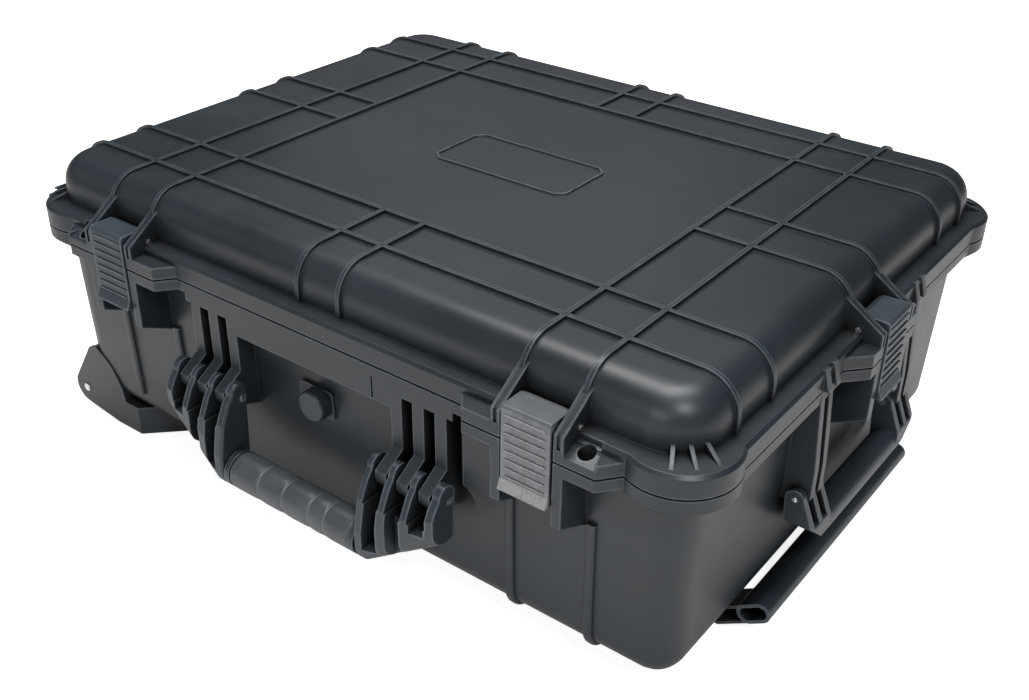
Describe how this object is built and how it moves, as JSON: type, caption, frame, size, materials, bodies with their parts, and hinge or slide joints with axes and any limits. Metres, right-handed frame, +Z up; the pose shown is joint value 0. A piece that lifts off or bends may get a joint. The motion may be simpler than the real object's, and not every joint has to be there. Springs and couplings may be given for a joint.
{
  "type": "wheeled hard equipment case",
  "caption": "Ribbed hard equipment case with a hinged gasketed lid, latches, folding carry handles, a pull-out trolley handle, a purge valve, foam and wheels.",
  "frame": {"origin": "on the ground plane under the middle of the case, on the central strap of the trolley guide", "axes": "+X towards the trolley handle end, -Y the front with the large carry handle, +Z up"},
  "size_m": [0.6388, 0.5135, 0.242],
  "materials": {
    "shell_plastic": "satin, fine texture",
    "handle_plastic": "satin",
    "latch_plastic": "satin, worn ridges",
    "steel_pin": "bright",
    "grip_rubber": "matte, finely lined",
    "seal_rubber": "matte",
    "foam": "open-cell foam",
    "tyre_rubber": "matte",
    "hub_plastic": "satin",
    "bush_plastic": "satin",
    "arm_metal": "black with worn bright edges"
  },
  "bodies": {
    "base": {"base_shell": "shell_plastic", "base_foam_pad": "foam", "base_foam_tray": "foam", "hinge_pins": "steel_pin", "front_handle_pins": "steel_pin", "end_handle_pins": "steel_pin", "purge_valve_body": "handle_plastic", "purge_valve_gasket": "seal_rubber", "purge_valve_nut": "handle_plastic", "wheel_bracket_front": "shell_plastic", "wheel_bracket_rear": "shell_plastic", "wheel_axles": "steel_pin", "wheel_bracket_screws": "steel_pin", "trolley_guide": "shell_plastic", "trolley_guide_screws": "steel_pin"},
    "lid": {"lid_shell": "shell_plastic", "lid_gasket": "seal_rubber", "lid_foam": "foam", "latch_pins": "steel_pin"},
    "front_handle": {"front_handle_frame": "handle_plastic", "front_handle_grip": "grip_rubber"},
    "end_handle": {"end_handle": "handle_plastic"},
    "purge_knob": {"purge_valve_knob": "handle_plastic"},
    "trolley_handle": {"trolley_arm_front": "arm_metal", "trolley_arm_rear": "arm_metal", "trolley_bar": "handle_plastic"},
    "wheel_front": {"wheel_tyre_front": "tyre_rubber", "wheel_hub_front": "hub_plastic", "wheel_bush_front": "bush_plastic"},
    "wheel_rear": {"wheel_tyre_rear": "tyre_rubber", "wheel_hub_rear": "hub_plastic", "wheel_bush_rear": "bush_plastic"},
    "latch_lever_front_left": {"latch_lever_front_left": "latch_plastic", "latch_hook_pin_front_left": "steel_pin"},
    "latch_hook_front_left": {"latch_hook_front_left": "latch_plastic"},
    "latch_lever_front_right": {"latch_lever_front_right": "latch_plastic", "latch_hook_pin_front_right": "steel_pin"},
    "latch_hook_front_right": {"latch_hook_front_right": "latch_plastic"},
    "latch_lever_side_left": {"latch_lever_side_left": "latch_plastic", "latch_hook_pin_side_left": "steel_pin"},
    "latch_hook_side_left": {"latch_hook_side_left": "latch_plastic"},
    "latch_lever_side_right": {"latch_lever_side_right": "latch_plastic", "latch_hook_pin_side_right": "steel_pin"},
    "latch_hook_side_right": {"latch_hook_side_right": "latch_plastic"}
  },
  "joints": [
    {"name": "lid_hinge", "type": "hinge", "parent": "base", "child": "lid", "pos_m": [0, 0.241, 0.19], "axis": [-1, 0, 0], "range_deg": [0, 105]},
    {"name": "front_handle_hinge", "type": "hinge", "parent": "base", "child": "front_handle", "pos_m": [0, -0.2395, 0.119], "axis": [-1, 0, 0], "range_deg": [0, 95]},
    {"name": "end_handle_hinge", "type": "hinge", "parent": "base", "child": "end_handle", "pos_m": [0.2935, 0, 0.107], "axis": [0, -1, 0], "range_deg": [0, 95]},
    {"name": "purge_knob_turn", "type": "hinge", "parent": "base", "child": "purge_knob", "pos_m": [-0.006, -0.224, 0.13], "axis": [0, -1, 0], "range_deg": [0, 270]},
    {"name": "trolley_slide", "type": "slide", "parent": "base", "child": "trolley_handle", "axis": [1, 0, 0], "range_m": [0, 0.33]},
    {"name": "wheel_front_spin", "type": "hinge", "parent": "base", "child": "wheel_front", "pos_m": [-0.298, -0.19125, 0.023], "axis": [0, 1, 0], "continuous": true},
    {"name": "wheel_rear_spin", "type": "hinge", "parent": "base", "child": "wheel_rear", "pos_m": [-0.298, 0.19125, 0.023], "axis": [0, 1, 0], "continuous": true},
    {"name": "latch_lever_front_left_hinge", "type": "hinge", "parent": "lid", "child": "latch_lever_front_left", "pos_m": [-0.189, -0.228, 0.2075], "axis": [-1, 0, 0], "range_deg": [0, 60]},
    {"name": "latch_hook_front_left_hinge", "type": "hinge", "parent": "latch_lever_front_left", "child": "latch_hook_front_left", "pos_m": [-0.189, -0.2365, 0.192], "axis": [-1, 0, 0], "range_deg": [0, 7]},
    {"name": "latch_lever_front_right_hinge", "type": "hinge", "parent": "lid", "child": "latch_lever_front_right", "pos_m": [0.189, -0.228, 0.2075], "axis": [-1, 0, 0], "range_deg": [0, 60]},
    {"name": "latch_hook_front_right_hinge", "type": "hinge", "parent": "latch_lever_front_right", "child": "latch_hook_front_right", "pos_m": [0.189, -0.2365, 0.192], "axis": [-1, 0, 0], "range_deg": [0, 7]},
    {"name": "latch_lever_side_left_hinge", "type": "hinge", "parent": "lid", "child": "latch_lever_side_left", "pos_m": [-0.302, 0, 0.2075], "axis": [0, 1, 0], "range_deg": [0, 60]},
    {"name": "latch_hook_side_left_hinge", "type": "hinge", "parent": "latch_lever_side_left", "child": "latch_hook_side_left", "pos_m": [-0.3105, 0, 0.192], "axis": [0, 1, 0], "range_deg": [0, 7]},
    {"name": "latch_lever_side_right_hinge", "type": "hinge", "parent": "lid", "child": "latch_lever_side_right", "pos_m": [0.294, 0, 0.2075], "axis": [0, -1, 0], "range_deg": [0, 60]},
    {"name": "latch_hook_side_right_hinge", "type": "hinge", "parent": "latch_lever_side_right", "child": "latch_hook_side_right", "pos_m": [0.3025, 0, 0.192], "axis": [0, -1, 0], "range_deg": [0, 7]}
  ]
}
